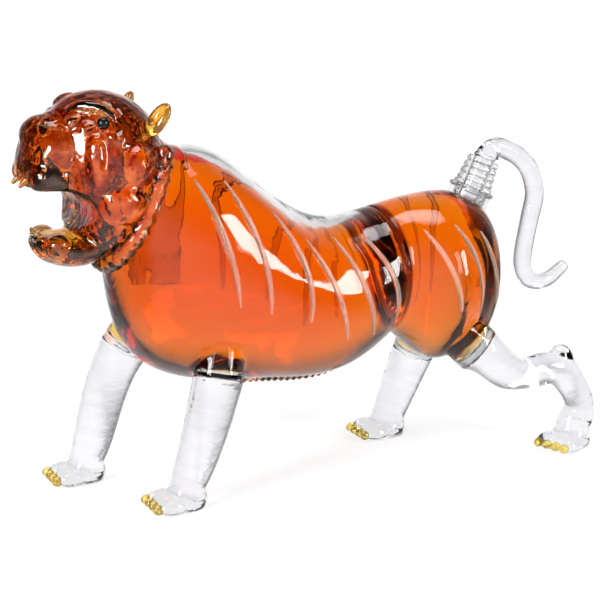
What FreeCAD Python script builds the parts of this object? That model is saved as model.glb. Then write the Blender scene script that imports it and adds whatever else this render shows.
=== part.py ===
import FreeCAD, Part
import math
import os

from FreeCAD import Matrix, Placement, Rotation, Vector

# Figural decanter: a roaring tiger lampworked from clear glass.
# The blown body and head hold the liquor, the rump carries the filling neck,
# and the tail is the handle of the stopper.
# Millimetres. The nose points to -X, the tail to +X, the left flank to -Y, and +Z is up.

# Blown body
body_length = 230.0           # breast to rump
withers_height = 174.0        # soles to the top of the shoulders
body_width = 88.0             # across the shoulders
glass_wall = 3.0              # wall of every blown form
rump_depth = 13.0             # how far the rump rounds out behind the last haunch profile
rump_drop = 7.0               # how far the middle of the rump sinks on the way
oval_points = 16              # points that each closed profile is drawn through
loft_degree = 3

# One row per profile: top x, top z, bottom x, bottom z, half width.
# x is a share of body_length, z of withers_height and half width of body_width.
waist_shares = (0.150, 0.786, 0.165, 0.414, 0.398)
barrel_shares = [
    (0.083, 0.771, 0.083, 0.336, 0.443),
    (-0.026, 0.787, -0.035, 0.298, 0.466),
    (-0.130, 0.874, -0.157, 0.310, 0.489),
    (-0.243, 0.988, -0.278, 0.325, 0.500),
    (-0.313, 1.012, -0.400, 0.379, 0.489),
    (-0.361, 1.029, -0.474, 0.529, 0.432),
]
neck_seam_shares = (-0.380, 1.057, -0.496, 0.713, 0.345)
haunch_shares = [
    (0.239, 0.808, 0.235, 0.345, 0.455),
    (0.326, 0.816, 0.304, 0.305, 0.477),
    (0.400, 0.784, 0.348, 0.316, 0.403),
]
dome_angles_deg = (24.0, 44.0, 60.0, 73.0, 84.0)
thin_share = 0.35             # least size of a hollow profile, of the form around it

# Blown head, measured from the middle of the neck seam.
# x is a share of head_length, z of head_height and half width of head_width.
head_length = 56.0            # neck seam to the front of the muzzle
head_height = 82.0            # chin to crown
head_width = 70.0             # across the cheeks
skull_shares = [
    (-0.059, 0.598, -0.363, -0.366, 0.500),
    (-0.416, 0.622, -0.470, -0.293, 0.457),
    (-0.666, 0.524, -0.577, -0.134, 0.343),
    (-0.773, 0.390, -0.666, 0.024, 0.200),
    (-0.800, 0.268, -0.755, 0.159, 0.071),
]
muzzle_shares = [
    (-0.452, 0.512, -0.452, 0.073, 0.300),
    (-0.684, 0.524, -0.666, 0.049, 0.329),
    (-0.863, 0.439, -0.827, 0.055, 0.271),
    (-0.961, 0.317, -0.934, 0.098, 0.157),
    (-0.996, 0.220, -0.988, 0.159, 0.057),
]
jaw_shares = [
    (-0.210, -0.098, -0.210, -0.293, 0.286),
    (-0.488, -0.171, -0.470, -0.390, 0.314),
    (-0.720, -0.183, -0.684, -0.384, 0.243),
    (-0.854, -0.183, -0.836, -0.329, 0.143),
    (-0.898, -0.220, -0.895, -0.262, 0.057),
]
mouth_shares = (-0.809, -0.049)      # middle of the open mouth
mouth_reach_share = 0.357            # half length of the open mouth, of head_length
mouth_gape = 24.0

# Glass applied to the head. Places are x and z in the side view, then sideways of head_width.
eye_radius = 2.8
eye_shares = (-0.368, 0.477)
eye_stand_share = 0.45               # middle of the bead outside the wall, of its radius
ear_sizes = (3.2, 6.5, 9.0)          # half thickness, half width, half length
ear_shares = (0.125, 0.475, 0.345)
ear_lean_deg = 32.0                  # backwards
ear_splay_deg = 18.0                 # outwards
ear_dish_share = 0.70                # hollow of the ear, of the ear
nose_sizes = (10.5, 12.0, 10.0)
nose_shares = (-0.768, 0.385)
lip_sizes = (12.5, 10.5, 9.0)
lip_shares = (-0.745, 0.165, 0.185)
fang_length = 6.0
fang_root_radius = 2.3
fang_tip_radius = 0.8
upper_fang_lean_deg = 52.0           # forwards
lower_fang_lean_deg = 24.0
upper_fang_shares = (-0.925, 0.150, 0.085)
lower_fang_shares = (-0.815, -0.235, 0.085)
brow_radius = 3.4
brow_front_shares = (-0.590, 0.140)  # x and sideways
brow_back_shares = (-0.240, 0.330)
brow_swell_shares = (0.45, 0.85, 1.0, 0.85, 0.45)
ruff_radius = 3.9
ruff_beads = 26
ruff_open_deg = 42.0                 # half angle left open behind the crown
ruff_stand_share = 0.8               # middle of the ruff outside the seam, of its radius
bead_pinch_share = 0.70              # narrow places of a beaded cane, of its radius

# Glass applied to the body
keel_radius = 3.4
keel_beads = 24
keel_x_shares = (-0.215, 0.150)
trail_radius = 1.3
trail_taper_shares = (0.4, 0.75, 0.95, 1.0, 1.0, 1.0, 1.0, 0.95, 0.75, 0.4)
# Raised trails by the part of the body: three side-view places each
shoulder_trail_shares = [
    [(-0.335, 0.940), (-0.290, 0.780), (-0.262, 0.590)],
    [(-0.268, 0.930), (-0.215, 0.770), (-0.190, 0.560)],
    [(-0.160, 0.830), (-0.105, 0.690), (-0.095, 0.520)],
]
flank_trail_shares = [
    [(-0.085, 0.745), (-0.035, 0.620), (0.000, 0.450)],
    [(-0.005, 0.735), (0.040, 0.610), (0.070, 0.450)],
    [(0.070, 0.725), (0.115, 0.620), (0.130, 0.480)],
]
haunch_trail_shares = [
    [(0.215, 0.735), (0.255, 0.620), (0.275, 0.500)],
    [(0.285, 0.745), (0.325, 0.620), (0.340, 0.490)],
    [(0.350, 0.720), (0.380, 0.610), (0.390, 0.490)],
]

# Legs. Each row is x of body_length, sideways of stance_half, z of withers_height,
# and the radius of rod_radius. The blown body ends in a stub at seam_row, where the solid rod begins.
stance_half = 30.0
rod_radius = 11.0
ankle_radius = 9.4
seam_row = 1
front_left_shares = [
    (-0.270, 0.73, 0.494, 1.10), (-0.289, 0.95, 0.364, 1.14),
    (-0.313, 1.0, 0.264, 1.06), (-0.343, 1.0, 0.140, 0.93),
]
front_right_shares = [
    (-0.372, 0.70, 0.506, 1.10), (-0.412, 0.95, 0.397, 1.16),
    (-0.460, 1.0, 0.262, 1.0), (-0.488, 1.0, 0.140, 0.92),
]
hind_left_shares = [
    (0.296, 0.66, 0.435, 1.15), (0.356, 0.93, 0.352, 1.20), (0.420, 1.0, 0.284, 0.92),
    (0.477, 1.0, 0.257, 0.76), (0.526, 1.0, 0.262, 0.79), (0.572, 1.0, 0.258, 0.84),
    (0.610, 1.0, 0.205, 0.73), (0.633, 1.0, 0.152, 0.70), (0.636, 1.0, 0.110, 0.76),
]
hind_right_shares = [
    (0.326, 0.60, 0.391, 1.05), (0.322, 0.93, 0.270, 1.05), (0.284, 1.0, 0.140, 0.90),
]
front_left_ankle_share = -0.363
front_right_ankle_share = -0.505
hind_left_ankle_share = 0.622
hind_right_ankle_share = 0.262
hock_sizes = (7.5, 7.0, 10.0)
hock_shares = (0.578, 1.0, 0.276)

# Paws point forward. Each row is height of paw_height, forward and half length of paw_length,
# half width of paw_width.
paw_length = 31.0
paw_width = 24.0
paw_height = 12.0
paw_form_shares = [(0.62, 0.08, 0.355, 0.417), (0.28, 0.13, 0.42, 0.458), (0.0, 0.11, 0.355, 0.396)]
toe_count = 4
toe_radius = 4.3
toe_length = 15.0
toe_forward_share = 0.37             # middle of a toe before the ankle, of paw_length
toe_pitch_share = 0.235              # from toe to toe, of paw_width
toe_rise_share = 0.85                # middle of a toe above the table, of toe_radius
claw_radius = 2.3
claw_length = 6.0
hind_left_turn_deg = 20.0            # this paw is turned out

# Filling neck and stopper, along an axis that leans back
neck_lean_deg = 25.0
neck_axis_shares = (0.318, 0.575)    # a place on the axis inside the haunches
neck_bore_radius = 8.0
neck_wall = 3.2
neck_height = 5.5                    # collar above the rump
neck_depth = 7.0                     # collar below the rump's skin, through the wall
foot_radius = 14.0                   # flared foot of the neck, melted into the rump
neck_lip = 1.2                       # roundness of the rim
seal_depth = 13.0                    # of the stopper in the bore
seal_clearance = 0.05
seal_ribs = 4
rib_depth = 0.9
flange_height = 1.8
flange_radius = 10.6
grip_height = 14.5
grip_low_radius = 10.2
grip_high_radius = 8.8
grip_ribs = 4
plug_radius = 4.6
plug_clearance = 0.08
shoulder_gap = 0.1                   # bead of the plug above the top of the stopper
plug_floor = 3.0                     # closed bottom of the stopper below the plug
plug_end_gap = 0.3
shoulder_radius = 6.2                # bead where plug and tail meet
shoulder_height = 2.4
tail_radius = 5.2
tail_size = 73.0                     # drop of the tail below its seat
tail_shares = [
    (0.070, 0.048), (0.155, 0.034), (0.245, -0.010), (0.325, -0.070), (0.390, -0.162),
    (0.423, -0.260), (0.427, -0.370), (0.400, -0.486), (0.370, -0.630), (0.346, -0.770),
    (0.348, -0.870), (0.388, -0.955), (0.474, -1.0), (0.563, -0.992), (0.645, -0.945),
    (0.700, -0.905),
]
tail_thickness_shares = (
    1.0, 1.0, 1.0, 1.0, 1.0, 1.0, 1.0, 0.98, 0.96, 0.96, 0.95, 0.93, 0.86, 0.80, 0.72, 0.66)

cut_overrun = 40.0                   # how far a cutter runs past what it cuts


def body_place(x_share, z_share):
    return Vector(x_share * body_length, 0, z_share * withers_height)


# A profile is its middle and two half axes, sideways and up
def body_profile(shares):
    top, bottom = body_place(*shares[0:2]), body_place(*shares[2:4])
    return (top + bottom) * 0.5, Vector(0, -shares[4] * body_width, 0), (top - bottom) * 0.5


waist = body_profile(waist_shares)
neck_seam = body_profile(neck_seam_shares)
seam_normal = neck_seam[1].cross(neck_seam[2]).normalize()
sideways = Vector(0, 1, 0)
upwards = Vector(0, 0, 1)
forwards = Vector(-1, 0, 0)


def head_place(x_share, z_share, side_share=0):
    out = Vector(x_share * head_length, -side_share * head_width, z_share * head_height)
    return neck_seam[0] + out


def head_profile(shares):
    top, bottom = head_place(*shares[0:2]), head_place(*shares[2:4])
    return (top + bottom) * 0.5, Vector(0, -shares[4] * head_width, 0), (top - bottom) * 0.5


def oval_wire(profile):
    middle, side, up = profile
    points = []
    for step in range(oval_points):
        angle = 2 * math.pi * step / oval_points
        points.append(middle + side * math.cos(angle) + up * math.sin(angle))
    curve = Part.BSplineCurve()
    curve.interpolate(points, PeriodicFlag=True)
    return Part.Wire(curve.toShape())


def loft(profiles, ribbed=False):
    return Part.makeLoft([oval_wire(profile) for profile in profiles], True, ribbed, False, loft_degree)


# Half axis shortened by the wall, but never to nothing
def inset(axis):
    return axis * max((axis.Length - glass_wall) / axis.Length, thin_share)


def inset_profile(profile):
    return profile[0], inset(profile[1]), inset(profile[2])


# Hollow of a form that is open at its first profile and closed at its last
def hollow(profiles):
    base = profiles[0][0]
    reach = (profiles[-1][0] - base).Length
    shorter = (reach - glass_wall) / reach
    places = []
    for profile in profiles:
        middle, side, up = inset_profile(profile)
        places.append((base + (middle - base) * shorter, side, up))
    return loft(places)


# Profiles that round off the end of a form
def dome(last, depth, drop):
    profiles = []
    for angle in dome_angles_deg:
        out, scale = math.sin(math.radians(angle)), math.cos(math.radians(angle))
        middle = last[0] + Vector(depth * out, 0, -drop * out)
        profiles.append((middle, last[1] * scale, last[2] * scale))
    return profiles


def ellipsoid(half_sizes, pole=upwards):
    scale = Matrix()
    scale.scale(Vector(*half_sizes))
    return Part.makeSphere(1, Vector(0, 0, 0), pole).transformGeometry(scale)


def placed(shape, middle, rotation=Rotation()):
    copy = shape.copy()
    copy.Placement = Placement(middle, rotation)
    return copy


def mirrored(shape):
    return shape.mirror(Vector(0, 0, 0), Vector(0, 1, 0))


def largest(shape):
    return max(shape.Solids, key=lambda solid: solid.Volume)


# Places where a straight probe meets the lofted skin of a form
def skin_places(form, start, finish):
    probe = Part.LineSegment(start, finish)
    places = []
    for face in form.Faces:
        if isinstance(face.Surface, Part.BSplineSurface):
            points, _ = probe.intersectCS(face.Surface)
            places += [Vector(point.X, point.Y, point.Z) for point in points]
    return places


# The skin at a place of the side view, on the left for side -1 and on the right for side 1
def side_surface(form, x, z, side=-1):
    places = skin_places(form, Vector(x, side * body_width, z), Vector(x, 0, z))
    return max(places, key=lambda place: side * place.y)


# The skin on top at a place of the plan
def top_surface(form, x, y):
    places = skin_places(form, Vector(x, y, neck_seam[0].z), Vector(x, y, 2 * withers_height))
    return max(places, key=lambda place: place.z)


# A drawn rod: rings along a path, squared to it unless an end direction is given.
# The level direction keeps the rings from twisting, and the path never runs along it.
def rod(points, radii, level, start=None, end=None, ribbed=False):
    profiles = []
    for index, point in enumerate(points):
        direction = points[min(index + 1, len(points) - 1)] - points[max(index - 1, 0)]
        if index == 0 and start:
            direction = start
        if index == len(points) - 1 and end:
            direction = end
        side = direction.cross(level).normalize()
        up = side.cross(direction).normalize()
        profiles.append((point, side * radii[index], up * radii[index]))
    return loft(profiles, ribbed)


# A cane pinched into beads along a path
def beaded(path, beads, radius, level):
    points, radii = [], []
    for step in range(2 * beads + 1):
        points.append(path(step / (2 * beads)))
        radii.append(radius * (1 if step % 2 else bead_pinch_share))
    return rod(points, radii, level, ribbed=True)


# Turned piece: outline of radius and height about Z, where a pair of places is an arc
def turned(outline):
    edges = []
    here = outline[0]
    for step in outline[1:]:
        arc = isinstance(step[0], tuple)
        there = step[1] if arc else step
        begin, finish = Vector(here[0], 0, here[1]), Vector(there[0], 0, there[1])
        if arc:
            edges.append(Part.Arc(begin, Vector(step[0][0], 0, step[0][1]), finish).toShape())
        else:
            edges.append(Part.makeLine(begin, finish))
        here = there
    face = Part.Face(Part.Wire(edges))
    return face.revolve(Vector(0, 0, 0), Vector(0, 0, 1), 360)


barrel_profiles = [waist] + [body_profile(shares) for shares in barrel_shares] + [neck_seam]
haunch_profiles = [waist] + [body_profile(shares) for shares in haunch_shares]
haunch_profiles += dome(haunch_profiles[-1], rump_depth, rump_drop)
skull_profiles = [neck_seam] + [head_profile(shares) for shares in skull_shares]
muzzle_profiles = [head_profile(shares) for shares in muzzle_shares]
jaw_profiles = [head_profile(shares) for shares in jaw_shares]


def leg_points(side, shares):
    points = []
    for x, out, z, _ in shares:
        points.append(Vector(x * body_length, side * out * stance_half, z * withers_height))
    return points


def leg_radii(shares):
    return [row[3] * rod_radius for row in shares]


def seam_direction(points):
    return (points[seam_row + 1] - points[seam_row - 1]).normalize()


# Blown stub of a leg, and the hollow in it
def leg_stub(side, shares):
    points, radii = leg_points(side, shares), leg_radii(shares)
    along = seam_direction(points)
    points, radii = points[:seam_row + 1], radii[:seam_row + 1]
    outer = rod(points, radii, sideways, end=along)
    points[-1] = points[-1] - along * glass_wall
    return outer, rod(points, [radius - glass_wall for radius in radii], sideways, end=along)


front_left_stub = leg_stub(-1, front_left_shares)
front_right_stub = leg_stub(1, front_right_shares)
hind_left_stub = leg_stub(-1, hind_left_shares)
hind_right_stub = leg_stub(1, hind_right_shares)
barrel_skin = loft(barrel_profiles)
haunch_skin = loft(haunch_profiles)
skull_form = loft(skull_profiles)
barrel_form = barrel_skin.fuse([front_left_stub[0], front_right_stub[0]])
haunch_form = haunch_skin.fuse([hind_left_stub[0], hind_right_stub[0]])

neck_axis = Vector(math.sin(math.radians(neck_lean_deg)), 0, math.cos(math.radians(neck_lean_deg)))
neck_start = body_place(*neck_axis_shares)
neck_seat = skin_places(haunch_skin, neck_start, neck_start + neck_axis * body_length)[0]
neck_turn = Rotation(Vector(0, 0, 1), neck_axis)


def on_neck(shape):
    return placed(shape, neck_seat, neck_turn)


# Round cutter along the neck
def neck_cutter(radius):
    return on_neck(Part.makeCylinder(radius, 2 * seal_depth, Vector(0, 0, -seal_depth)))


def blown_body():
    barrel_hollow = loft([inset_profile(profile) for profile in barrel_profiles])
    front = barrel_form.cut([barrel_hollow, front_left_stub[1], front_right_stub[1]])
    hind = haunch_form.cut([hollow(haunch_profiles), hind_left_stub[1], hind_right_stub[1]])
    foot = hind.common(neck_cutter(foot_radius)).cut(neck_cutter(neck_bore_radius + neck_wall))
    return {
        "front_body": front,
        "haunches": largest(hind.cut(neck_cutter(foot_radius))),
        "neck_foot": largest(foot),
    }


# Elliptic cutter across the head
def mouth_cutter(growth):
    middle = head_place(*mouth_shares) - Vector(0, cut_overrun + head_width, 0)
    reach = mouth_reach_share * head_length + growth
    rise = mouth_gape / 2 + growth
    oval = oval_wire((middle, Vector(reach, 0, 0), Vector(0, 0, rise)))
    return Part.Face(oval).extrude(Vector(0, 2 * (cut_overrun + head_width), 0))


def head():
    mouth = mouth_cutter(0)
    inside = hollow(skull_profiles).fuse([hollow(muzzle_profiles), hollow(jaw_profiles)])
    inside = inside.cut(mouth_cutter(glass_wall))
    muzzle = loft(muzzle_profiles).cut(mouth)
    jaw = loft(jaw_profiles).cut(mouth)
    pieces = {
        "head_shell": largest(skull_form.cut([mouth, inside])),
        "muzzle": largest(muzzle.cut([skull_form, inside])),
        "lower_jaw": largest(jaw.cut([skull_form, inside])),
    }
    pieces["nose"] = placed(ellipsoid(nose_sizes), head_place(*nose_shares)).cut([muzzle, skull_form])
    lip = placed(ellipsoid(lip_sizes), head_place(*lip_shares)).cut([muzzle, skull_form, mouth])
    pieces["left_lip"] = largest(lip.cut(pieces["nose"]))
    fang = Part.makeCone(fang_root_radius, fang_tip_radius, fang_length)
    lean = Rotation(Vector(0, 1, 0), -lower_fang_lean_deg)
    drop = Rotation(Vector(0, 1, 0), 180 + upper_fang_lean_deg)
    upper = placed(fang, head_place(*upper_fang_shares), drop).cut([muzzle, pieces["left_lip"]])
    lower = placed(fang, head_place(*lower_fang_shares), lean).cut(jaw)
    pieces["right_lip"] = mirrored(pieces["left_lip"])
    pieces["upper_fangs"] = Part.makeCompound([largest(upper), mirrored(largest(upper))])
    pieces["lower_fangs"] = Part.makeCompound([largest(lower), mirrored(largest(lower))])
    pieces.update(head_trim(muzzle))
    return pieces


def head_trim(muzzle):
    eye_seat = head_place(*eye_shares)
    eye_seat = side_surface(skull_form, eye_seat.x, eye_seat.z)
    eye_middle = eye_seat - Vector(0, eye_stand_share * eye_radius, 0)
    eye = Part.makeSphere(eye_radius, eye_middle).cut(skull_form)
    brow_points = []
    for step in range(len(brow_swell_shares)):
        along = step / (len(brow_swell_shares) - 1)
        x_share = brow_front_shares[0] + along * (brow_back_shares[0] - brow_front_shares[0])
        side_share = brow_front_shares[1] + along * (brow_back_shares[1] - brow_front_shares[1])
        place = head_place(x_share, 0, side_share)
        brow_points.append(top_surface(skull_form, place.x, place.y))
    brow_radii = [share * brow_radius for share in brow_swell_shares]
    brow = largest(rod(brow_points, brow_radii, upwards).cut([skull_form, muzzle, eye]))
    ear_turn = Rotation(Vector(1, 0, 0), ear_splay_deg) * Rotation(Vector(0, 1, 0), ear_lean_deg)
    ear_middle = head_place(*ear_shares)
    thickness, width, length = ear_sizes
    dish_sizes = (thickness, width * ear_dish_share, length * ear_dish_share)
    dish_shift = Vector(-thickness, 0, length - dish_sizes[2]) * ear_dish_share
    dish_middle = ear_middle + ear_turn.multVec(dish_shift)
    ear = placed(ellipsoid(ear_sizes), ear_middle, ear_turn)
    ear = ear.cut(placed(ellipsoid(dish_sizes), dish_middle, ear_turn))
    ear = largest(ear.cut([skull_form, barrel_skin]))
    left = {"left_eye": eye, "left_brow": brow, "left_ear": ear}
    right = {name.replace("left", "right"): mirrored(shape) for name, shape in left.items()}
    return {**left, **right}


def ruff_path(along):
    middle, side, up = neck_seam
    angle = math.radians(90 + ruff_open_deg + along * (360 - 2 * ruff_open_deg))
    stand = ruff_stand_share * ruff_radius
    grown_side = side * (1 + stand / side.Length)
    grown_up = up * (1 + stand / up.Length)
    return middle + grown_side * math.cos(angle) + grown_up * math.sin(angle)


def keel_path(along):
    front, back = keel_x_shares
    x = (front + along * (back - front)) * body_length
    places = skin_places(barrel_skin, Vector(x, 0, 0), Vector(x, 0, waist[0].z))
    return min(places, key=lambda place: place.z)


def trails(form, table, side):
    solids = []
    for shares in table:
        flat = Part.BSplineCurve()
        flat.interpolate([body_place(*place) for place in shares])
        points = []
        for step in range(len(trail_taper_shares)):
            along = step / (len(trail_taper_shares) - 1)
            place = flat.value(flat.FirstParameter + along * (flat.LastParameter - flat.FirstParameter))
            points.append(side_surface(form, place.x, place.z, side))
        radii = [share * trail_radius for share in trail_taper_shares]
        solids.append(largest(rod(points, radii, sideways).cut(form)))
    return Part.makeCompound(solids)


def body_trim():
    pieces = {}
    for name, side in (("left", -1), ("right", 1)):
        pieces[name + "_shoulder_trails"] = trails(barrel_skin, shoulder_trail_shares, side)
        pieces[name + "_flank_trails"] = trails(barrel_skin, flank_trail_shares, side)
        pieces[name + "_haunch_trails"] = trails(haunch_skin, haunch_trail_shares, side)
    ruff = beaded(ruff_path, ruff_beads, ruff_radius, seam_normal)
    pieces["cheek_ruff"] = largest(ruff.cut([skull_form, barrel_skin]))
    keel = beaded(keel_path, keel_beads, keel_radius, sideways)
    pieces["belly_cane"] = largest(keel.cut(barrel_skin))
    return pieces


def paw(ankle, turn_deg):
    turn = Rotation(Vector(0, 0, 1), turn_deg)
    ring = (Vector(0, 0, paw_height), Vector(0, ankle_radius, 0), Vector(ankle_radius, 0, 0))
    profiles = [ring]
    for height, forward, half_length, half_width in paw_form_shares:
        middle = Vector(-forward * paw_length, 0, height * paw_height)
        across, along = half_width * paw_width, half_length * paw_length
        profiles.append((middle, Vector(0, across, 0), Vector(along, 0, 0)))
    palm = loft(profiles)
    toe = ellipsoid((toe_length / 2, toe_radius, toe_radius))
    claw = ellipsoid((claw_length / 2, claw_radius, claw_radius), forwards)
    toes, claws = [], []
    for index in range(toe_count):
        across = (index - (toe_count - 1) / 2) * toe_pitch_share * paw_width
        middle = Vector(-toe_forward_share * paw_length, across, toe_rise_share * toe_radius)
        toes.append(placed(toe, middle))
        claws.append(placed(claw, middle - Vector(toe_length / 2, 0, 0)))
    corner = Vector(-paw_length, -paw_width, -cut_overrun)
    below = Part.makeBox(2 * paw_length, 2 * paw_width, cut_overrun, corner)
    foot = palm.fuse(toes).cut(below).removeSplitter()
    nails = Part.makeCompound([largest(claw.cut(foot)) for claw in claws])
    return placed(foot, ankle, turn), placed(nails, ankle, turn)


def leg(name, side, shares, ankle_share, turn_deg=0):
    ankle = Vector(ankle_share * body_length, side * stance_half, 0)
    points = leg_points(side, shares) + [ankle + upwards * paw_height]
    radii = leg_radii(shares) + [ankle_radius]
    along = seam_direction(points)
    shank = rod(points[seam_row:], radii[seam_row:], sideways, start=along, end=-upwards)
    foot, nails = paw(ankle, turn_deg)
    return {name + "_leg": shank, name + "_paw": foot, name + "_claws": nails}


def legs():
    pieces = leg("front_left", -1, front_left_shares, front_left_ankle_share)
    pieces.update(leg("front_right", 1, front_right_shares, front_right_ankle_share))
    pieces.update(leg("hind_right", 1, hind_right_shares, hind_right_ankle_share))
    pieces.update(leg("hind_left", -1, hind_left_shares, hind_left_ankle_share, hind_left_turn_deg))
    x, out, z = hock_shares
    hock_middle = Vector(x * body_length, -out * stance_half, z * withers_height)
    shank = pieces["hind_left_leg"].fuse(placed(ellipsoid(hock_sizes), hock_middle))
    pieces["hind_left_leg"] = largest(shank.cut(haunch_form))
    return pieces


def stopper():
    bore = neck_bore_radius
    outside = bore + neck_wall
    rim_low = neck_height - 2 * neck_lip
    collar = turned([
        (bore, -neck_depth), (outside, -neck_depth), (outside, rim_low),
        ((outside + neck_lip, rim_low + neck_lip), (outside, neck_height)),
        (bore, neck_height), (bore, -neck_depth),
    ])
    rib = bore - seal_clearance
    foot = neck_height - seal_depth
    grip_low = neck_height + flange_height
    grip_top = grip_low + grip_height
    hole = plug_radius + plug_clearance
    hole_floor = foot + plug_floor
    outline = [(0, foot), (rib - rib_depth, foot)]
    pitch = seal_depth / seal_ribs
    for index in range(seal_ribs):
        low = foot + index * pitch
        outline.append(((rib, low + pitch / 2), (rib - rib_depth, low + pitch)))
    outline += [(flange_radius, neck_height), (flange_radius, grip_low)]
    outline.append((grip_low_radius - rib_depth, grip_low))
    pitch = grip_height / grip_ribs
    for index in range(grip_ribs):
        low_share, high_share = index / grip_ribs, (index + 1) / grip_ribs
        narrowing = grip_low_radius - grip_high_radius
        crest = grip_low_radius - narrowing * (low_share + high_share) / 2
        valley = grip_low_radius - narrowing * high_share - rib_depth
        crest_height = grip_low + (index + 0.5) * pitch
        outline.append(((crest, crest_height), (valley, crest_height + pitch / 2)))
    outline += [(hole, grip_top), (hole, hole_floor), (0, hole_floor), (0, foot)]
    shoulder = grip_top + shoulder_gap
    seat = shoulder + shoulder_height
    plug_end = hole_floor + plug_end_gap
    plug = turned([
        (0, plug_end), (plug_radius, plug_end), (plug_radius, shoulder), (tail_radius, shoulder),
        ((shoulder_radius, shoulder + shoulder_height / 2), (tail_radius, seat)),
        (0, seat), (0, plug_end),
    ])
    root = neck_seat + neck_axis * seat
    points = [root]
    points += [root + Vector(x * tail_size, 0, z * tail_size) for x, z in tail_shares]
    radii = [tail_radius] + [share * tail_radius for share in tail_thickness_shares]
    tip, tip_radius = points[-1], radii[-1]
    direction = (points[-1] - points[-2]).normalize()
    for angle in dome_angles_deg:
        points.append(tip + direction * (tip_radius * math.sin(math.radians(angle))))
        radii.append(tip_radius * math.cos(math.radians(angle)))
    return {
        "neck_collar": on_neck(collar),
        "stopper_seal": on_neck(turned(outline)),
        "stopper_plug": on_neck(plug),
        "tail": rod(points, radii, sideways, start=neck_axis, end=direction),
    }


def build():
    pieces = {}
    for group in (blown_body, head, body_trim, legs, stopper):
        pieces.update(group())
    boxes = [shape.optimalBoundingBox(False, False) for shape in pieces.values()]
    middle = (min(box.XMin for box in boxes) + max(box.XMax for box in boxes)) / 2
    for shape in pieces.values():
        shape.translate(Vector(-middle, 0, 0))
    print("neck seat", neck_seat - Vector(middle, 0, 0), "neck axis", neck_axis)
    return pieces


if __name__ == "__main__":
    os.makedirs("parts", exist_ok=True)
    for node, shape in build().items():
        print(node, shape.isValid(), len(shape.Solids), round(shape.Volume))
        shape.exportStep("parts/" + node + ".step")
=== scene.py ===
import math

import bpy
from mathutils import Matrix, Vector
from mathutils.bvhtree import BVHTree


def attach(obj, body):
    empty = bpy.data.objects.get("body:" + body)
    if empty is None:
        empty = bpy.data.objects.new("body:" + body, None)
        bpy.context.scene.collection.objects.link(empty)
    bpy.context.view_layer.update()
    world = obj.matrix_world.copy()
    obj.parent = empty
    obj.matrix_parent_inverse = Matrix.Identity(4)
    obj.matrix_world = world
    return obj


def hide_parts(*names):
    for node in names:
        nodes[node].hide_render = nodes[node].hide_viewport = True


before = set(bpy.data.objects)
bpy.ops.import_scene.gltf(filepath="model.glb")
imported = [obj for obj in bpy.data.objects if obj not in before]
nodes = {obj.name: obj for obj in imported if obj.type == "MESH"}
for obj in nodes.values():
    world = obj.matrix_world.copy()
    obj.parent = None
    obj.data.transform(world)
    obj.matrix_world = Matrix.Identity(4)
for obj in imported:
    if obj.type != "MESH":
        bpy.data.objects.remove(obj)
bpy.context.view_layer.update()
scene = bpy.context.scene
print("frame loaded:", len(nodes), "nodes")

meshSizes = {"mergeGap": 2e-6, "smoothFactor": 0.5}


def pick(*objs):
    bpy.ops.object.select_all(action="DESELECT")
    for obj in objs:
        obj.select_set(True)
    bpy.context.view_layer.objects.active = objs[0]


def editAll(obj):
    pick(obj)
    bpy.ops.object.mode_set(mode="EDIT")
    bpy.ops.mesh.select_all(action="SELECT")


def applyModifier(obj, kind, **settings):
    pick(obj)
    step = obj.modifiers.new(kind.lower(), kind)
    for key, value in settings.items():
        setattr(step, key, value)
    bpy.ops.object.modifier_apply(modifier=step.name)


def duplicate(piece, name):
    copy = bpy.data.objects.new(name, piece.data.copy())
    scene.collection.objects.link(copy)
    return copy


def copyNodes(name, *sources):
    copies = [duplicate(nodes[source], name) for source in sources]
    pick(*copies)
    if len(copies) > 1:
        bpy.ops.object.join()
    joined = bpy.context.object
    joined.name = name
    editAll(joined)
    bpy.ops.mesh.remove_doubles(threshold=meshSizes["mergeGap"])   # the frame's meshes are loose triangles
    bpy.ops.object.mode_set(mode="OBJECT")
    return joined


def smooth(piece, rounds):
    applyModifier(piece, "SMOOTH", factor=meshSizes["smoothFactor"], iterations=rounds)


def soften(piece, voxel, rounds):
    applyModifier(piece, "REMESH", mode="VOXEL", voxel_size=voxel)
    smooth(piece, rounds)


def fatten(piece, value):
    editAll(piece)
    bpy.ops.mesh.normals_make_consistent(inside=False)
    bpy.ops.transform.shrink_fatten(value=value)
    bpy.ops.object.mode_set(mode="OBJECT")


# small helpers for shader nodes

def link(tree, source, target):
    tree.links.new(source, target)


def mathNode(tree, kind, first, second=None):
    node = tree.nodes.new("ShaderNodeMath")
    node.operation = kind
    for socket, value in zip(node.inputs, (first, second)):
        if isinstance(value, (int, float)):
            socket.default_value = value
        elif value is not None:
            link(tree, value, socket)
    return node.outputs[0]


def vectorNode(tree, kind, source):
    node = tree.nodes.new("ShaderNodeVectorMath")
    node.operation = kind
    link(tree, source, node.inputs[0])
    return node


def dotNode(tree, source, direction):
    node = vectorNode(tree, "DOT_PRODUCT", source)
    node.inputs[1].default_value = direction
    return node.outputs["Value"]


def ramp(tree, value, low, high, start, end, kind="SMOOTHSTEP"):
    node = tree.nodes.new("ShaderNodeMapRange")
    node.interpolation_type = kind
    for key, number in (("From Min", low), ("From Max", high), ("To Min", start), ("To Max", end)):
        node.inputs[key].default_value = number
    link(tree, value, node.inputs["Value"])
    return node.outputs["Result"]


# materials: one glass recipe, with slow waves of hand-worked glass in tint, roughness and surface; in the
# head glass the tint waves are painted shade and painted light

waveSizes = {
    "detail": 2.0, "stretch": (1, 1, 1), "patches": (0.3, 0.7),
    "smearFrom": 0.45, "smearTo": 0.75,
}
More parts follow.
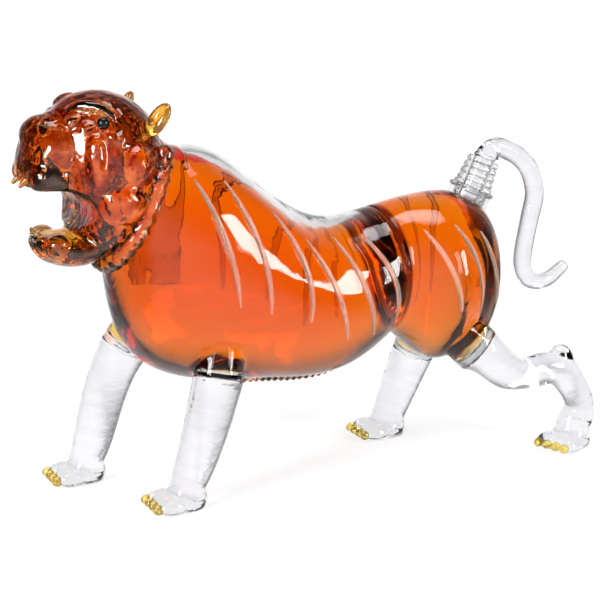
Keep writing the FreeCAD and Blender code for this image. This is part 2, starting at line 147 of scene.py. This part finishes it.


# painted shade: a dark brown ring across the waist, where the two blown bodies meet, painted into the glass
# colour in place of the dark band that the waist's hollow throws by refraction
def paintWaistShade(tree, place, colour, seam):
    offset = mathNode(tree, "SUBTRACT", dotNode(tree, place, seam["normal"]), seam["at"])
    away = mathNode(tree, "ABSOLUTE", offset)
    mix = tree.nodes.new("ShaderNodeMixRGB")
    link(tree, ramp(tree, away, seam["core"], seam["edge"], 1.0, 0.0, "LINEAR"), mix.inputs["Fac"])
    link(tree, colour, mix.inputs["Color1"])
    mix.inputs["Color2"].default_value = (*seam["colour"], 1)
    return mix.outputs["Color"]


def glassMaterial(look):
    mat = bpy.data.materials.new(look["name"])
    mat.use_nodes = True
    tree = mat.node_tree
    shader = tree.nodes["Principled BSDF"]
    shader.inputs["IOR"].default_value = look["ior"]
    shader.inputs["Transmission Weight"].default_value = look["clear"]
    shader.inputs["Specular Tint"].default_value = (look["shine"],) * 3 + (1,)
    coords = tree.nodes.new("ShaderNodeTexCoord")
    place = tree.nodes.new("ShaderNodeMapping")
    place.inputs["Scale"].default_value = look.get("stretch", waveSizes["stretch"])
    link(tree, coords.outputs["Object"], place.inputs["Vector"])
    swirl = tree.nodes.new("ShaderNodeTexNoise")
    swirl.inputs["Scale"].default_value = look["waveScale"]
    swirl.inputs["Detail"].default_value = waveSizes["detail"]
    link(tree, place.outputs["Vector"], swirl.inputs["Vector"])
    wave = swirl.outputs["Fac"]
    tint = tree.nodes.new("ShaderNodeValToRGB")
    positions = look.get("patches", waveSizes["patches"])
    shades = (look["tintLow"], look["tintHigh"])
    for stop, position, shade in zip(tint.color_ramp.elements, positions, shades):
        stop.position = position
        stop.color = (*shade, 1)
    link(tree, wave, tint.inputs["Fac"])
    colour = tint.outputs["Color"]
    if "seam" in look:
        colour = paintWaistShade(tree, coords.outputs["Object"], colour, look["seam"])
    link(tree, colour, shader.inputs["Base Color"])
    smear = ramp(tree, wave, waveSizes["smearFrom"], waveSizes["smearTo"], *look["rough"], "LINEAR")
    link(tree, smear, shader.inputs["Roughness"])
    ripple = tree.nodes.new("ShaderNodeBump")
    ripple.inputs["Strength"].default_value = look["waveStrength"]
    ripple.inputs["Distance"].default_value = look["waveDepth"]
    link(tree, wave, ripple.inputs["Height"])
    link(tree, ripple.outputs["Normal"], shader.inputs["Normal"])
    if "absorb" in look:
        depth = tree.nodes.new("ShaderNodeVolumeAbsorption")
        depth.inputs["Color"].default_value = (*look["absorb"], 1)
        depth.inputs["Density"].default_value = look["density"]
        link(tree, depth.outputs["Volume"], tree.nodes["Material Output"].inputs["Volume"])
    return mat


clearGlass = glassMaterial({
    "name": "clear_glass", "shine": 0.5, "ior": 1.5, "clear": 1.0, "waveScale": 45.0,
    "waveStrength": 0.25, "waveDepth": 0.0015, "rough": (0.02, 0.06),
    "tintLow": (0.985, 0.99, 1.0), "tintHigh": (1.0, 1.0, 1.0),
    # painted shade: the dark brown band across the waist, in place of the waist's refracted shade
    "seam": {
        "normal": (0.9985, 0.0, 0.054), "at": 0.0438, "core": 0.0018, "edge": 0.0032,
        "colour": (0.25, 0.10, 0.05),
    },
})
rodGlass = glassMaterial({
    "name": "rod_glass", "shine": 1.0, "ior": 1.5, "clear": 1.0, "waveScale": 40.0, "stretch": (1, 1, 5),
    "waveStrength": 0.3, "waveDepth": 0.0012, "rough": (0.0, 0.03),
    "tintLow": (0.88, 0.88, 0.93), "tintHigh": (0.97, 0.97, 1.0),
})
# painted shade and painted light: the dark brown and pale yellow tint patches stand in for the dark and
# bright surroundings that the head's curved glass refracts
headGlassPaintedShading = glassMaterial({
    "name": "head_glass", "shine": 1.0, "ior": 1.5, "clear": 1.0, "waveScale": 95.0, "patches": (0.40, 0.56),
    "waveStrength": 0.5, "waveDepth": 0.003, "rough": (0.0, 0.02),
    "tintLow": (0.58, 0.30, 0.13), "tintHigh": (1.0, 0.91, 0.68),
})
# painted highlight: the trails are clear glass; this pale cream tint, with a small diffuse share and a low
# IOR, stands in for the highlights along their raised ridges
trailGlassPaintedHighlight = glassMaterial({
    "name": "trail_painted_highlight", "shine": 1.0, "ior": 1.18, "clear": 0.86, "waveScale": 90.0,
    "waveStrength": 0.2, "waveDepth": 0.0006, "rough": (0.06, 0.14),
    "tintLow": (0.98, 0.80, 0.62), "tintHigh": (1.0, 0.92, 0.82),
})
clawGlass = glassMaterial({
    "name": "claw_glass", "shine": 1.0, "ior": 1.45, "clear": 0.92, "waveScale": 220.0,
    "waveStrength": 0.2, "waveDepth": 0.0006, "rough": (0.02, 0.08),
    "tintLow": (0.92, 0.62, 0.06), "tintHigh": (1.0, 0.84, 0.30),
})
amberGlass = glassMaterial({
    "name": "amber_glass", "shine": 1.0, "ior": 1.5, "clear": 0.9, "waveScale": 220.0,
    "waveStrength": 0.2, "waveDepth": 0.0006, "rough": (0.02, 0.08),
    "tintLow": (0.80, 0.30, 0.02), "tintHigh": (0.95, 0.58, 0.10),
})
blackGlass = glassMaterial({
    "name": "black_glass", "shine": 0.6, "ior": 1.5, "clear": 0.0, "waveScale": 300.0,
    "waveStrength": 0.1, "waveDepth": 0.0003, "rough": (0.03, 0.10),
    "tintLow": (0.002, 0.002, 0.002), "tintHigh": (0.006, 0.005, 0.004),
})
silicone = glassMaterial({
    "name": "silicone", "shine": 1.0, "ior": 1.41, "clear": 0.95, "waveScale": 120.0,
    "waveStrength": 0.2, "waveDepth": 0.0006, "rough": (0.05, 0.16),
    "tintLow": (0.93, 0.94, 0.95), "tintHigh": (0.99, 0.99, 1.0),
})
liquor = glassMaterial({
    "name": "liquor", "shine": 0.0, "ior": 1.36, "clear": 1.0, "waveScale": 30.0,
    "waveStrength": 0.0, "waveDepth": 0.0005, "rough": (0.0, 0.0),
    "tintLow": (0.99, 0.985, 0.97), "tintHigh": (1.0, 1.0, 1.0),
    "absorb": (0.987, 0.76, 0.02), "density": 115.0,
})
print("materials made")


def finishOf(name):
    if "eye" in name:
        return blackGlass
    if "claws" in name:
        return clawGlass
    if name.endswith(("fangs", "ear")):
        return amberGlass
    if "trails" in name:
        return trailGlassPaintedHighlight
    # the ruff and belly cane take the head glass with its painted shade and light patches
    if name in ("cheek_ruff", "belly_cane"):
        return headGlassPaintedShading
    if name == "stopper_seal":
        return silicone
    if name.endswith(("leg", "paw")) or name == "tail":
        return rodGlass
    return clearGlass


def dress(piece, mat):
    piece.data.materials.clear()
    piece.data.materials.append(mat)


for name, node in nodes.items():
    dress(node, finishOf(name))


def settle(piece, sources, body, mat):
    dress(piece, mat)
    pick(piece)
    bpy.ops.object.shade_smooth()
    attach(piece, body)
    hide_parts(*sources)


# hot glass joints: pieces melt into one another with a soft fillet

def melt(look):
    piece = copyNodes(look["name"], *look["from"])
    soften(piece, look["voxel"], look["smoothing"])
    fatten(piece, look["swell"])
    settle(piece, look["from"], look["body"], look["mat"])
    print("melted:", look["name"], len(piece.data.polygons), "faces")


bodyLook = {
    "name": "front_glass", "body": "vessel", "mat": clearGlass, "from": ("front_body",),
    "voxel": 0.0012, "smoothing": 3, "swell": 0.0001,
}
rumpLook = {
    "name": "haunch_glass", "body": "vessel", "mat": clearGlass, "from": ("haunches", "neck_foot"),
    "voxel": 0.001, "smoothing": 3, "swell": 0.0001,
}
tailLook = {
    "name": "tail_rod", "body": "tail_stopper", "mat": rodGlass, "from": ("tail", "stopper_plug"),
    "voxel": 0.0006, "smoothing": 3, "swell": 0.0,
}
limbLook = {"body": "vessel", "mat": rodGlass, "voxel": 0.0006, "smoothing": 1, "swell": 0.0001}
for look in (bodyLook, rumpLook, tailLook):
    melt(look)
for corner in ("front_left", "front_right", "hind_left", "hind_right"):
    melt({**limbLook, "name": corner + "_limb", "from": (corner + "_leg", corner + "_paw")})


# the head: one blown skin over skull, muzzle, jaw and everything gathered onto them

headLook = {
    "name": "head_glass",
    "from": ("head_shell", "muzzle", "lower_jaw", "nose", "left_lip", "right_lip", "left_brow", "right_brow"),
    "closing": ("front_body", "haunches", "neck_foot", "neck_collar", "stopper_seal"),
    "voxel": 0.0009, "smoothing": 5,
    "wallSteps": 3, "wallStep": 0.0009, "wallSmoothing": 3, "wallFinish": 2,
    "neck": (-0.0995, 0.0, 0.154), "neckNormal": (-0.913, 0.0, 0.408),
    "hullBehind": 0.02, "liquorBehind": 0.006,
    "lumpSegments": 40, "lumpRings": 20,
    "lumps": [                                                      # middle and radii, on each side
        ((-0.1064, -0.0249, 0.1718), (0.0110, 0.0125, 0.0120)),     # upper cheek
        ((-0.1120, -0.0252, 0.1558), (0.0140, 0.0130, 0.0120)),     # lower cheek
        ((-0.1245, -0.0268, 0.1742), (0.0055, 0.0068, 0.0140)),     # fold behind the lip
        ((-0.1405, -0.0060, 0.1860), (0.0090, 0.0090, 0.0090)),     # nostril
        ((-0.1310, -0.0155, 0.1925), (0.0050, 0.0045, 0.0045)),     # four gathers make the fold under the eye
        ((-0.1262, -0.0205, 0.1895), (0.0050, 0.0045, 0.0045)),
        ((-0.1195, -0.0255, 0.1860), (0.0050, 0.0045, 0.0045)),
        ((-0.1125, -0.0270, 0.1845), (0.0050, 0.0045, 0.0045)),
        ((-0.1400, -0.0130, 0.1340), (0.0065, 0.0060, 0.0060)),     # chin
    ],
}


def addLumps(piece, look):
    for place, radii in look["lumps"]:
        for side in (1, -1):
            bpy.ops.object.select_all(action="DESELECT")
            bpy.ops.mesh.primitive_uv_sphere_add(
                segments=look["lumpSegments"], ring_count=look["lumpRings"], radius=1.0,
                location=(place[0], place[1] * side, place[2]))
            lump = bpy.context.object
            lump.scale = radii
            bpy.ops.object.transform_apply(location=True, rotation=True, scale=True)
            pick(piece, lump)
            bpy.ops.object.join()


def cutBehind(piece, place, normal, fill):
    editAll(piece)
    bpy.ops.mesh.bisect(plane_co=place, plane_no=normal, clear_inner=True, use_fill=fill)
    bpy.ops.object.mode_set(mode="OBJECT")


# outer skin and turned inner wall become one shell, bridged at the neck
def joinWalls(outer, inner):
    editAll(inner)
    bpy.ops.mesh.normals_make_consistent(inside=True)
    bpy.ops.object.mode_set(mode="OBJECT")
    pick(outer, inner)
    bpy.ops.object.join()
    editAll(outer)
    bpy.ops.mesh.select_mode(type="EDGE")
    bpy.ops.mesh.select_all(action="DESELECT")
    bpy.ops.mesh.select_non_manifold(extend=False, use_wire=False, use_boundary=True,
                                     use_multi_face=False, use_non_contiguous=False, use_verts=False)
    bpy.ops.mesh.bridge_edge_loops()
    bpy.ops.object.mode_set(mode="OBJECT")


def blowHead(look):
    outer = copyNodes(look["name"], *look["from"], *look["closing"])
    addLumps(outer, look)
    soften(outer, look["voxel"], look["smoothing"])       # the closed hollow fills up
    place = Vector(look["neck"])
    normal = Vector(look["neckNormal"]).normalized()
    cutBehind(outer, place - normal * look["hullBehind"], normal, True)
    inner = duplicate(outer, "head_wall")
    for step in range(look["wallSteps"]):
        fatten(inner, -look["wallStep"])
        smooth(inner, look["wallSmoothing"])
    soften(inner, look["voxel"], look["wallFinish"])
    core = duplicate(inner, "head_liquor")
    cutBehind(core, place - normal * look["liquorBehind"], normal, True)
    for skin in (outer, inner):
        cutBehind(skin, place, normal, False)
    joinWalls(outer, inner)
    settle(outer, look["from"], "vessel", headGlassPaintedShading)
    print("head blown:", len(outer.data.polygons), "faces")
    return core


headLiquor = blowHead(headLook)


# glass laid on hot: each piece swells a little into what carries it

laidSwells = {
    "trails": 0.0001, "cheek_ruff": 0.0007, "belly_cane": 0.0003,
    "eye": 0.0002, "ear": 0.0002, "claws": 0.0002,
}


def layOn(source, swell):
    piece = copyNodes(source + "_laid", source)
    editAll(piece)
    bpy.ops.transform.shrink_fatten(value=swell)
    bpy.ops.object.mode_set(mode="OBJECT")
    glass = finishOf(source)
    settle(piece, (source,), "vessel", glass)


for name in nodes:
    for ending, swell in laidSwells.items():
        if name.endswith(ending):
            layOn(name, swell)
print("laid-on glass set")


# liquor: the skin of the hollow, closed and filled, with a thin air gap under the crest of the back

liquorSizes = {
    "shells": ("front_body", "haunches", "head_shell", "muzzle", "lower_jaw", "stopper_seal", "neck_collar",
               "neck_foot"),
    "rayLift": 2e-4, "voxel": 0.0011, "overlap": 0.0004, "smoothing": 8,
    "airGap": 0.0035, "gapFrom": -0.078, "gapTo": 0.03, "gapFade": 0.02, "gapAbove": 0.115,
    "riseFrom": 0.55, "riseGain": 3.6,
}
steps = (-1, 0, 1)
lookWays = [Vector((x, y, z)).normalized() for x in steps for y in steps for z in steps if x or y or z]


# a spot lies in the hollow when it sees glass every way it looks
def enclosed(tree, place):
    return all(tree.ray_cast(place, way)[0] is not None for way in lookWays)


def keepHollow(fill, lift):
    mesh = fill.data
    tree = BVHTree.FromPolygons([v.co for v in mesh.vertices], [p.vertices[:] for p in mesh.polygons])
    outside = [not enclosed(tree, p.center + p.normal * lift) for p in mesh.polygons]
    pick(fill)
    bpy.ops.object.mode_set(mode="EDIT")
    bpy.ops.mesh.select_mode(type="FACE")
    bpy.ops.object.mode_set(mode="OBJECT")
    mesh.polygons.foreach_set("select", outside)
    bpy.ops.object.mode_set(mode="EDIT")
    bpy.ops.mesh.delete(type="FACE")
    bpy.ops.object.mode_set(mode="OBJECT")
    print("hollow faces kept:", len(mesh.polygons))


def clamp(value):
    return min(1.0, max(0.0, value))


def sinkTop(fill, sizes):
    rises = [vertex.normal.z for vertex in fill.data.vertices]
    for vertex, rise in zip(fill.data.vertices, rises):
        fromEnds = min(vertex.co.x - sizes["gapFrom"], sizes["gapTo"] - vertex.co.x)
        up = clamp((rise - sizes["riseFrom"]) * sizes["riseGain"])
        if vertex.co.z > sizes["gapAbove"]:
            vertex.co.z -= sizes["airGap"] * up * clamp(fromEnds / sizes["gapFade"])


def pourLiquor(sizes, head):
    fill = copyNodes("liquor_fill", *sizes["shells"])
    keepHollow(fill, sizes["rayLift"])
    applyModifier(fill, "REMESH", mode="VOXEL", voxel_size=sizes["voxel"])
    pick(fill, head)
    bpy.ops.object.join()
    soften(fill, sizes["voxel"], sizes["smoothing"])
    fatten(fill, sizes["overlap"])
    sinkTop(fill, sizes)
    dress(fill, liquor)
    pick(fill)
    bpy.ops.object.shade_smooth()
    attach(fill, "vessel")
    print("liquor poured:", len(fill.data.polygons), "faces")


pourLiquor(liquorSizes, headLiquor)


# stage and light: bright towards the backdrop and the viewer's side, dim to the left and right

stageSizes = {
    "facing": (0.4226, 0.9063, 0.0), "dim": 0.06, "dimFrom": 0.45, "dimTo": 0.92,
    "sky": 0.4, "skyFrom": 0.10, "skyTo": 0.48,
    "floorRadius": 6.0, "floorCorners": 96, "paint": 0.9,
    "glow": 0.7, "glowFrom": 0.2, "glowTo": 0.7, "white": 1.1, "nearFrom": 0.13, "nearTo": 0.34,
}


def sideDimming(tree, direction, sizes):
    towards = mathNode(tree, "ABSOLUTE", dotNode(tree, direction, sizes["facing"]))
    return ramp(tree, towards, sizes["dimFrom"], sizes["dimTo"], sizes["dim"], 1.0)


def buildWorld(sizes):
    world = bpy.data.worlds.new("studio")
    scene.world = world
    world.use_nodes = True
    tree = world.node_tree
    background = tree.nodes["Background"]
    coords = tree.nodes.new("ShaderNodeTexCoord")
    split = tree.nodes.new("ShaderNodeSeparateXYZ")
    link(tree, coords.outputs["Generated"], split.inputs["Vector"])
    above = ramp(tree, split.outputs["Z"], sizes["skyFrom"], sizes["skyTo"], 1.0, sizes["sky"])
    glow = mathNode(tree, "MULTIPLY", above, sideDimming(tree, coords.outputs["Generated"], sizes))
    path = tree.nodes.new("ShaderNodeLightPath")
    strength = mathNode(tree, "MAXIMUM", glow, path.outputs["Is Camera Ray"])
    background.inputs["Color"].default_value = (1, 1, 1, 1)
    link(tree, strength, background.inputs["Strength"])


def floorMaterial(sizes):
    mat = bpy.data.materials.new("pale_floor")
    mat.use_nodes = True
    tree = mat.node_tree
    tree.nodes.remove(tree.nodes["Principled BSDF"])
    place = tree.nodes.new("ShaderNodeTexCoord").outputs["Object"]
    outward = vectorNode(tree, "NORMALIZE", place).outputs["Vector"]
    distance = vectorNode(tree, "LENGTH", place).outputs["Value"]
    path = tree.nodes.new("ShaderNodeLightPath")
    near = ramp(tree, distance, sizes["nearFrom"], sizes["nearTo"], 1.0, 0.0)
    sides = mathNode(tree, "MAXIMUM", near, sideDimming(tree, outward, sizes))
    whiteness = mathNode(tree, "MULTIPLY", path.outputs["Is Camera Ray"], sizes["white"])
    glow = tree.nodes.new("ShaderNodeEmission")
    link(tree, mathNode(tree, "MAXIMUM", sides, whiteness), glow.inputs["Strength"])
    paint = tree.nodes.new("ShaderNodeBsdfDiffuse")
    paint.inputs["Color"].default_value = (sizes["paint"],) * 3 + (1,)
    seen = mathNode(tree, "MAXIMUM", path.outputs["Is Camera Ray"], path.outputs["Is Transmission Ray"])
    seen = mathNode(tree, "MAXIMUM", seen, path.outputs["Is Glossy Ray"])
    # the paint shows its shadows near the piece only
    share = ramp(tree, distance, sizes["glowFrom"], sizes["glowTo"], sizes["glow"], 1.0)
    mix = tree.nodes.new("ShaderNodeMixShader")
    link(tree, mathNode(tree, "MULTIPLY", seen, share), mix.inputs["Fac"])
    link(tree, paint.outputs["BSDF"], mix.inputs[1])
    link(tree, glow.outputs["Emission"], mix.inputs[2])
    link(tree, mix.outputs["Shader"], tree.nodes["Material Output"].inputs["Surface"])
    return mat


def buildFloor(sizes):
    bpy.ops.object.select_all(action="DESELECT")
    bpy.ops.mesh.primitive_circle_add(
        vertices=sizes["floorCorners"], radius=sizes["floorRadius"], fill_type="NGON")
    floor = bpy.context.object
    floor.name = "floor"
    dress(floor, floorMaterial(sizes))


def placeFacing(obj, place, target):
    scene.collection.objects.link(obj)
    obj.location = place
    obj.rotation_mode = "QUATERNION"
    obj.rotation_quaternion = (Vector(target) - Vector(place)).to_track_quat("-Z", "Y")


lampTarget = (0.0, 0.0, 0.1)
lampSizes = [
    {"name": "right_softbox", "place": (0.72, -0.92, 0.52), "size": (0.28, 0.6), "power": 15.0},
    {"name": "left_softbox", "place": (-1.05, -0.45, 0.60), "size": (0.35, 0.55), "power": 19.0},
    {"name": "top_softbox", "place": (0.0, 0.1, 1.3), "size": (0.9, 0.5), "power": 9.0},
]


def hangLamp(lamp):
    data = bpy.data.lights.new(lamp["name"], "AREA")
    data.shape = "RECTANGLE"
    data.size, data.size_y = lamp["size"]
    data.energy = lamp["power"]
    placeFacing(bpy.data.objects.new(lamp["name"], data), lamp["place"], lampTarget)


cameraSizes = {
    "azimuth": -25.0, "elevation": 14.0, "distance": 0.9, "target": (-0.0074, 0.0, 0.091),
    "lens": 104.2, "sensor": 36.0,
}


def setCamera(sizes):
    turn = math.radians(sizes["azimuth"])
    rise = math.radians(sizes["elevation"])
    back = Vector((math.sin(turn) * math.cos(rise), -math.cos(turn) * math.cos(rise), math.sin(rise)))
    data = bpy.data.cameras.new("camera")
    data.lens = sizes["lens"]
    data.sensor_width = sizes["sensor"]
    camera = bpy.data.objects.new("camera", data)
    target = Vector(sizes["target"])
    placeFacing(camera, target + back * sizes["distance"], target)
    scene.camera = camera


buildWorld(stageSizes)
buildFloor(stageSizes)
for lamp in lampSizes:
    hangLamp(lamp)
setCamera(cameraSizes)
scene.view_settings.view_transform = "Standard"
print("stage, lamps and camera set")
